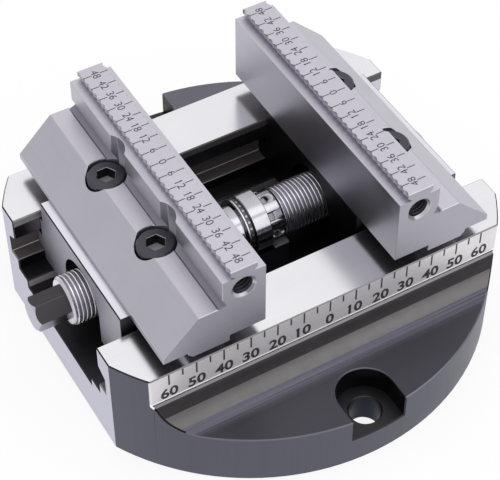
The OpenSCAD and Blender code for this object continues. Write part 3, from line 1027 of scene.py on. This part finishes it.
@dataclass
class Spindle:
    """Two threaded halves with their coupling collar and the drive hexagon.

    The thread's crest, crown and shoulder are widths as shares of the pitch: the crest's
    at the outer radius, the others at their drops from it.
    """

    pitch: float = 1.5 * MM
    depth: float = 0.92 * MM
    crest: float = 0.16
    crown: float = 0.34
    crown_drop: float = 0.05 * MM
    shoulder: float = 0.48
    shoulder_drop: float = 0.16 * MM
    thread_start: float = 9.8 * MM
    lead_turns: float = 1.5
    spare_turns: int = 3
    end_chamfer: float = 1.0 * MM
    steps: int = 64
    smooth: float = 30.0
    ring_chamfer: float = 0.12 * MM
    ring_x: float = 3.2 * MM
    roller_count: int = 28
    roller_sides: int = 12
    roller_radius: float = 0.45 * MM
    roller_proud: float = 0.04 * MM
    hexagon_chamfer: float = 0.15 * MM
    hexagon_edge: float = 5 * MM
    hexagon_slope: float = 0.3

    @property
    def axis_z(self) -> float:
        """Height of the spindle's axis."""
        low, high = cad_box("spindle_right")
        return (low.z + high.z) / 2

    @property
    def radius(self) -> float:
        """Outer radius of the threads."""
        low, high = cad_box("spindle_right")
        return (high.z - low.z) / 2

    def thread(self, side: Side, end: float) -> Piece:
        """Sweeps one thread's profile along its helix and trims both ends.

        Args:
            side: The end of the vise, which sets the hand of the thread.
            end: Where the thread ends along X, without its sign.

        Returns:
            The closed thread.
        """
        piece = Piece("thread")
        turns = math.ceil((end - self.thread_start) / self.pitch) + self.spare_turns
        rise = (
            (0.0, self.radius - self.depth),
            ((1 - self.shoulder) / 2, self.radius - self.shoulder_drop),
            ((1 - self.crown) / 2, self.radius - self.crown_drop),
            ((1 - self.crest) / 2, self.radius),
        )
        profile = (*rise, *((1 - share, radius) for share, radius in reversed(rise)))
        start = side.value * (self.thread_start - self.lead_turns * self.pitch)
        centre = Vector((start, 0, self.axis_z))
        piece.helix(profile, centre, Axis.X, side.value * self.pitch, turns, self.steps)
        piece.cut(side.value * self.thread_start, side)
        piece.cut(side.value * end, side.other)
        self.taper(piece, end)
        bmesh.ops.recalc_face_normals(piece.mesh, faces=piece.mesh.faces)
        piece.paint(self.thread_finish)
        return piece

    def taper(self, piece: Piece, end: float) -> None:
        """Turns the chamfer at the thread's end by drawing its crests in.

        Args:
            piece: The thread.
            end: Where the thread ends along X, without its sign.
        """
        for vert in piece.mesh.verts:
            past = abs(vert.co.x) - (end - self.end_chamfer)
            out = Vector((0, vert.co.y, vert.co.z - self.axis_z))
            room = self.radius - max(past, 0.0)
            if past > 0 and out.length > room:
                out = out.normalized() * room
                vert.co = Vector((vert.co.x, out.y, out.z + self.axis_z))

    def thread_finish(self, face: Face) -> Finish:
        """Gives the finish of a face of a thread, whose flanks are painted darker as shade.

        Args:
            face: A face of a thread.

        Returns:
            Its finish.
        """
        centre = face.calc_center_median()
        out = math.hypot(centre.y, centre.z - self.axis_z)
        # Flanks are painted darker as shade.
        flank = out < self.radius - self.shoulder_drop - NEAR and not along(face.normal, Axis.X)
        return FINISH.thread_root if flank else FINISH.thread

    def half(self, side: Side) -> None:
        """Builds one threaded half: the CAD's journal with a real helix on it.

        Args:
            side: The end of the vise.
        """
        node = f"spindle_{side.word}"
        piece = Piece.of_node(node, f"threaded_half_{side.word}", flatten=False)
        piece.cut(side.value * self.thread_start, side.other)
        piece.flatten()
        piece.finish(FINISH.collar)
        low, high = cad_box(node)
        piece.absorb(self.thread(side, high.x if side is Side.RIGHT else -low.x))
        piece.place("spindle", "spindle", [node], smooth=self.smooth)

    def collar_finish(self, face: Face) -> Finish:
        """The claws past the ring are milled, all other faces are bright."""
        claw = face.calc_center_median().x > self.ring_x + NEAR
        return FINISH.claw if claw else FINISH.collar

    def collar(self) -> None:
        """Builds the round collar with its claws."""
        collar = Piece.of_node("coupling_collar", "coupling_ring")
        collar.paint(self.collar_finish)
        collar.place("spindle", "spindle", ["coupling_collar"])

    def rings(self) -> None:
        """Builds the thrust washer and its cage with fine chamfers."""
        for node, name, finish in (
            ("thrust_washer", "thrust_ring", FINISH.washer),
            ("thrust_cage", "roller_cage", FINISH.cage),
        ):
            ring = Piece.of_node(node, name)
            ring.paint(lambda face, finish=finish: finish)
            ring.chamfer(self.ring_chamfer)
            if node == "thrust_cage":
                self.rollers(ring)
            ring.place("spindle", "spindle", [node])

    def rollers(self, ring: Piece) -> None:
        """Adds the ends of the rollers around the thrust cage.

        Args:
            ring: The cage's piece.
        """
        low, high = cad_box("thrust_cage")
        rollers = Piece("rollers")
        rollers.finish(FINISH.roller)
        middle = Matrix.Translation(((low.x + high.x) / 2, 0, self.axis_z))
        outwards = Matrix.Translation((0, 0, (high.z - low.z) / 2))
        for index in range(self.roller_count):
            turn = Matrix.Rotation(TURN * index / self.roller_count, 4, "X")
            bmesh.ops.create_cone(
                rollers.mesh,
                cap_ends=True,
                segments=self.roller_sides,
                radius1=self.roller_radius,
                radius2=self.roller_radius,
                depth=2 * self.roller_proud,
                matrix=middle @ turn @ outwards,
            )
        ring.absorb(rollers)

    def hexagon_finish(self, face: Face) -> Finish:
        """Gives the finish of a face of the hexagon: bare end, lower flats painted lighter as a
        reflection, the rest black.

        Args:
            face: A face of the hexagon.

        Returns:
            Its finish.
        """
        end_x = cad_box("drive_hex")[0].x + self.end_chamfer
        if face.calc_center_median().x < end_x - NEAR and face.normal.x < -self.hexagon_slope:
            return FINISH.hexagon_end
        return FINISH.hexagon_low if face.normal.z < -self.hexagon_slope else FINISH.hexagon

    def hexagon(self) -> None:
        """Builds the drive hexagon, with its long edges broken."""
        piece = Piece.of_node("drive_hex", "drive_hexagon")
        piece.paint(self.hexagon_finish)
        piece.chamfer(self.hexagon_chamfer, lambda edge: edge.calc_length() > self.hexagon_edge)
        piece.place("spindle", "drive", ["drive_hex"])

    def build(self) -> None:
        """Builds everything that turns with the spindle."""
        for side in Side:
            self.half(side)
        self.collar()
        self.rings()
        self.hexagon()
        dress("coupling_pin", FINISH.pin)


@dataclass
class Carriage:
    """One slide with its nut, jaw and screws."""

    side: Side
    jaw_chamfer: float = 0.2 * MM
    slide_chamfer: float = 0.14 * MM
    screw_chamfer: float = 0.2 * MM
    tongue_height: float = 2.6 * MM
    strip_middle: float = 7.8 * MM
    strip_low: float = 75.7 * MM
    strip_edge: float = 8 * MM
    scale_end: int = 48
    scale_step: int = 6
    line_reach: float = 4.6 * MM
    line_break: float = 1.6 * MM
    line_width: float = 0.34 * MM
    mark_proud: float = 0.02 * MM
    hole_inset: float = 7.9 * MM
    hole_drop: float = 9 * MM
    hole_radius: float = 3.4 * MM
    hole_pitch: float = 1.25 * MM
    hole_ridge: float = 0.4 * MM
    hole_depth: float = 12 * MM
    hole_start: float = 1.3 * MM
    hole_mouth: float = 0.9 * MM
    hole_steps: int = 32
    hole_smooth: float = 50.0
    seat_reach: float = 8 * MM
    groove_painted_shade_reach: float = 22 * MM
    groove_painted_shade_slope: float = 0.2
    groove_painted_shade_flat: float = 0.95
    socket_up: float = 0.9
    socket_floor: float = 2 * MM
    socket_depth: float = 4.2 * MM
    socket_face: float = 10 * MM * MM
    head_edge: float = 2 * MM
    bevel_low: float = 0.6
    bevel_high: float = 0.8
    numerals: Numerals = field(default_factory=lambda: Numerals(2.8 * MM, 0.0))

    def node(self, part: str) -> str:
        """The name of one of this carriage's CAD nodes."""
        return f"{self.side.word}_{part}"

    @property
    def body(self) -> str:
        """The CAD body that the carriage is."""
        return self.node("carriage")

    @property
    def face_x(self) -> float:
        """Place of the jaw's gripping face along X."""
        low, high = cad_box(self.node("jaw"))
        return low.x if self.side is Side.RIGHT else high.x

    @property
    def hole(self) -> Vector:
        """Place of the jaw's tapped end holes along X and Z."""
        top = cad_box(self.node("jaw"))[1].z
        return Vector((self.face_x + self.side.value * self.hole_inset, 0, top - self.hole_drop))

    @property
    def seat(self) -> Vector:
        """Place of the jaw's screws along X and, without its sign, along Y."""
        low, high = cad_box(self.node("jaw_screws"))
        return Vector(((low.x + high.x) / 2, high.y - (high.x - low.x) / 2, 0))

    def in_groove(self, centre: Vector, normal: Vector) -> bool:
        """Whether a face of the jaw is the slope of the groove behind the strip.

        Args:
            centre: The face's middle.
            normal: Where the face looks.

        Returns:
            Whether it is that slope.
        """
        outwards = normal.x * self.side.value > self.groove_painted_shade_slope
        slanted = self.groove_painted_shade_slope < normal.z < self.groove_painted_shade_flat and outwards
        inner = (centre.x - self.face_x) * self.side.value < self.groove_painted_shade_reach
        return slanted and inner and centre.z < self.strip_low

    def jaw_finish(self, face: Face) -> Finish:
        """Gives the finish of a face of the jaw, most of which is satin.

        Args:
            face: A face of the jaw.

        Returns:
            Its finish.
        """
        low, high = cad_box(self.node("jaw"))
        centre, normal = face.calc_center_median(), face.normal
        # Jaw underside painted dark as shade.
        if normal.z < -ALONG and abs(centre.z - low.z - self.tongue_height) < NEAR:
            return FINISH.foot_painted_shade
        # Jaw end faces painted darker as shade.
        if along(normal, Axis.Y) and abs(centre.y) > high.y - NEAR:
            return FINISH.jaw_end
        to_hole = math.hypot(centre.x - self.hole.x, centre.z - self.hole.z)
        # Inside of the tapped hole painted dark as shade.
        if to_hole < self.hole_radius + NEAR and abs(centre.y) < high.y - self.hole_mouth:
            return FINISH.bore_painted_shade
        to_screw = math.hypot(centre.x - self.seat.x, abs(centre.y) - self.seat.y)
        if across(normal, Axis.Z) and to_screw < self.seat_reach:
            return FINISH.cut
        # Upward faces painted lighter as painted light.
        if upward(normal):
            return FINISH.jaw_top
        # Groove slope painted darker as shade.
        return FINISH.groove_painted_shade if self.in_groove(centre, normal) else FINISH.jaw

    def off_scallops(self, edge: Edge) -> bool:
        """Whether an edge of the jaw isn't one of the strip's scallops, which stay sharp."""
        middle = (edge.verts[0].co + edge.verts[1].co) / 2
        return middle.z < self.strip_low - NEAR or edge.calc_length() > self.strip_edge

    def jaw(self) -> None:
        """Builds the jaw with its broken edges."""
        piece = Piece.of_node(self.node("jaw"), self.node("jaw_body"))
        piece.paint(self.jaw_finish)
        piece.chamfer(self.jaw_chamfer, self.off_scallops)
        piece.place(self.body, "jaw", [self.node("jaw")])

    def jaw_scale(self) -> None:
        """Builds the numbered lines on the gripping strip."""
        marks = Piece(self.node("jaw_scale"))
        marks.finish(FINISH.jaw_ink)
        middle = self.face_x + self.side.value * self.strip_middle
        top = cad_box(self.node("jaw"))[1].z
        upright = Matrix.Rotation(self.side.value * QUARTER, 4, "Z")
        reaches = ((-self.line_reach, -self.line_break), (self.line_break, self.line_reach))
        for value in range(-self.scale_end, self.scale_end + 1, self.scale_step):
            y = value * MM
            for near, far in reaches:
                marks.block(
                    Vector((middle + near, y - self.line_width / 2, top - self.mark_proud)),
                    Vector((middle + far, y + self.line_width / 2, top + self.mark_proud)),
                )
            frame = Matrix.Translation((middle, y, top)) @ upright
            self.numerals.stamp(marks, str(abs(value)), frame)
        marks.place(self.body, "jaw")

    def hole_threads(self) -> None:
        """Builds the thread ridges in the tapped hole of each jaw end."""
        piece = Piece(self.node("hole_threads"))
        # The hole's threads are painted dark as shade.
        piece.finish(FINISH.bore_painted_shade)
        low, high = cad_box(self.node("jaw"))
        turns = round(self.hole_depth / self.hole_pitch)
        outer, inner = self.hole_radius + NEAR, self.hole_radius - self.hole_ridge
        profile = ((-1 / 2, outer), (0.0, inner), (1 / 2, outer))
        for end, inwards in ((low.y, 1), (high.y, -1)):
            centre = self.hole + Axis.Y.direction * (end + inwards * self.hole_start)
            pitch = inwards * self.hole_pitch
            piece.helix(profile, centre, Axis.Y, pitch, turns, self.hole_steps)
        piece.place(self.body, "jaw", smooth=self.hole_smooth)

    def screw_finish(self, face: Face) -> Finish:
        """Gives the finish of a face of a jaw screw: black, its socket walls painted dark as shade and
        its floor painted lighter as painted light.

        Args:
            face: A face of a jaw screw.

        Returns:
            Its finish.
        """
        drop = cad_box(self.node("jaw_screws"))[1].z - face.calc_center_median().z
        # Socket floor painted lighter as painted light; socket walls painted dark as shade.
        if face.normal.z > self.socket_up and drop > self.socket_floor:
            return FINISH.socket_floor
        inside = across(face.normal, Axis.Z) and drop < self.socket_depth
        return FINISH.socket if inside and face.calc_area() > self.socket_face else FINISH.screw

    def screws(self) -> None:
        """Builds the two socket head screws of the jaw."""
        node = self.node("jaw_screws")
        piece = Piece.of_node(node, self.node("jaw_cap_screws"))
        piece.paint(self.screw_finish)
        piece.chamfer(
            self.screw_chamfer,
            lambda edge: edge.calc_length() > self.head_edge,
            lambda face: FINISH.screw_edge,
        )
        piece.place(self.body, "black_screws", [node])

    def is_bevel(self, face: Face) -> bool:
        """Whether a face is the bevel between the slide's top and its end."""
        return self.bevel_low < face.normal.z < self.bevel_high and abs(face.normal.x) > self.bevel_low

    def slide_finish(self, face: Face) -> Finish:
        """Gives the finish of a face of the slide: ground top, dark bevel, satin outer end and an
        inner end painted dark as shade.

        Args:
            face: A face of the slide.

        Returns:
            Its finish.
        """
        low, high = cad_box(self.node("slide"))
        centre = face.calc_center_median()
        if self.is_bevel(face):
            return FINISH.edge
        if upward(face.normal) and centre.z > high.z - NEAR:
            return FINISH.slide_top
        if along(face.normal, Axis.Y):
            return FINISH.slide_side
        # Inner faces are painted dark as shade.
        outer = centre.x * self.side.value > max(-low.x, high.x) - NEAR
        return FINISH.slide if outer else FINISH.slide_inner

    def slide(self) -> None:
        """Builds the slide, with its edges broken but for its bevel's."""
        node = self.node("slide")
        piece = Piece.of_node(node, self.node("slide_body"))
        piece.paint(self.slide_finish)
        piece.chamfer(
            self.slide_chamfer,
            lambda edge: not any(self.is_bevel(face) for face in edge.link_faces),
            lambda face: FINISH.edge,
        )
        piece.place(self.body, "slide", [node])

    def build(self) -> None:
        """Builds the carriage and dresses what is hidden in it."""
        self.slide()
        self.jaw()
        self.jaw_scale()
        self.hole_threads()
        self.screws()
        dress(self.node("nut"), FINISH.nut)
        dress(self.node("nut_screws"), FINISH.screw)
        dress(self.node("sleeves"), FINISH.pin)


@dataclass(frozen=True)
class Lamp:
    """A soft square lamp that looks at the vise."""

    name: str
    place: tuple[float, float, float]
    size: float
    power: float

    def build(self, aim: Vector) -> None:
        """Hangs the lamp.

        Args:
            aim: The point that it looks at.
        """
        light = bpy.data.lights.new(self.name, "AREA")
        light.shape = "SQUARE"
        light.size = self.size
        light.energy = self.power
        made = bpy.data.objects.new(self.name, light)
        made.location = self.place
        made.rotation_euler = (Vector(self.place) - aim).to_track_quat("Z", "Y").to_euler()
        bpy.context.scene.collection.objects.link(made)


@dataclass
class Studio:
    """Camera, floor, lamps and surroundings.

    The sky is dimmed by dim_share in a soft patch around dim_towards, between the cosines
    dim_from and dim_to, so that ground faces don't mirror it evenly.
    """

    azimuth: float = math.radians(-30.221)
    elevation: float = math.radians(47.85)
    distance: float = 598.9 * MM
    aim: Vector = field(default_factory=lambda: Vector((0.138, 0.0, 23.27)) * MM)
    focal_pixels: float = 1697.5
    image_width: int = 500
    sensor: float = 36.0
    view_start: float = 0.05
    view_end: float = 20.0
    floor_half: float = 3.0
    floor_tone: float = 0.9
    floor_glow: float = 0.86
    sky_low: float = 0.72
    sky_high: float = 1.08
    sky_fill: float = 1.0
    dim_towards: tuple[float, float, float] = (-0.45, 0.5, 0.74)
    dim_from: float = 0.88
    dim_to: float = 0.98
    dim_share: float = 0.3
    lamps: tuple[Lamp, ...] = (
        Lamp("key_lamp", (0.1, -0.2, 1.3), 0.9, 2.0),
        Lamp("fill_lamp", (0.7, -0.9, 0.8), 0.9, 2.0),
    )

    def camera(self) -> None:
        """Puts the camera where the photograph was taken from."""
        flat = math.cos(self.elevation)
        back = Vector(
            (
                math.sin(self.azimuth) * flat,
                -math.cos(self.azimuth) * flat,
                math.sin(self.elevation),
            )
        )
        data = bpy.data.cameras.new("camera")
        data.sensor_fit = "HORIZONTAL"
        data.sensor_width = self.sensor
        data.lens = self.focal_pixels / self.image_width * self.sensor
        data.clip_start = self.view_start
        data.clip_end = self.view_end
        made = bpy.data.objects.new("camera", data)
        made.location = self.aim + back * self.distance
        made.rotation_euler = back.to_track_quat("Z", "Y").to_euler()
        bpy.context.scene.collection.objects.link(made)
        bpy.context.scene.camera = made

    @staticmethod
    def seen(shader: Shader) -> Signal:
        """Adds a mask of the rays that show the surroundings.

        Args:
            shader: The tree that takes the mask.

        Returns:
            1 for camera, glossy and transmission rays, else 0.
        """
        camera = shader.add("ShaderNodeLightPath", output="Is Camera Ray")
        glossy = shader.add("ShaderNodeLightPath", output="Is Glossy Ray")
        through = shader.add("ShaderNodeLightPath", output="Is Transmission Ray")
        return camera.at_least(glossy).at_least(through)

    def sky(self) -> None:
        """Makes white surroundings, darker towards the horizon and in one soft patch."""
        world = bpy.data.worlds.new("studio")
        bpy.context.scene.world = world
        shader = Shader(world)
        direction = shader.add("ShaderNodeTexCoord", output="Generated")
        height = shader.add("ShaderNodeSeparateXYZ", {}, {0: direction}, "Z")
        lit = self.sky_low + (self.sky_high - self.sky_low) * height.at_least(0.0)
        near = shader.add(
            "ShaderNodeVectorMath",
            {"operation": "DOT_PRODUCT"},
            {0: direction, 1: self.dim_towards},
            "Value",
        )
        dim = shader.add(
            "ShaderNodeMapRange",
            {"interpolation_type": "SMOOTHSTEP"},
            {"Value": near, "From Min": self.dim_from, "From Max": self.dim_to},
        )
        lit = lit * (1 - dim * self.dim_share)
        camera = shader.add("ShaderNodeLightPath", output="Is Camera Ray")
        seen = self.seen(shader)
        strength = seen * lit + (1 - seen) * self.sky_fill
        shown = strength * (1 - camera) + camera
        surface = shader.add("ShaderNodeBackground", {}, {"Color": WHITE, "Strength": shown})
        shader.add("ShaderNodeOutputWorld", {}, {"Surface": surface})

    def floor(self) -> None:
        """Lays the pale floor, which keeps a soft shadow."""
        mesh = bmesh.new()
        bmesh.ops.create_grid(mesh, x_segments=1, y_segments=1, size=self.floor_half)
        data = bpy.data.meshes.new("floor")
        mesh.to_mesh(data)
        mesh.free()
        material = bpy.data.materials.new("floor_paper")
        shader = Shader(material)
        paper = shader.add("ShaderNodeBsdfDiffuse", {}, {"Color": rgba((self.floor_tone,) * 3)})
        glow = shader.add("ShaderNodeEmission", {}, {"Color": WHITE, "Strength": 1.0})
        share = self.seen(shader) * self.floor_glow
        surface = shader.add("ShaderNodeMixShader", {}, {0: share, 1: paper, 2: glow})
        shader.add("ShaderNodeOutputMaterial", {}, {"Surface": surface})
        data.materials.append(material)
        made = bpy.data.objects.new("floor", data)
        bpy.context.scene.collection.objects.link(made)

    def build(self) -> None:
        """Sets the studio up."""
        self.camera()
        self.sky()
        self.floor()
        for lamp in self.lamps:
            lamp.build(self.aim)
        bpy.context.scene.view_settings.view_transform = "Standard"


def main() -> None:
    """Builds the vise's looks and the studio around it."""
    logging.basicConfig(level=logging.INFO, format="%(name)s: %(message)s")
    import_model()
    for assembly in (Base(), CentreBearing(), Spindle(), Carriage(Side.LEFT), Carriage(Side.RIGHT)):
        LOG.info("building %s", type(assembly).__name__)
        assembly.build()
    Studio().build()


if __name__ == "__main__":
    main()
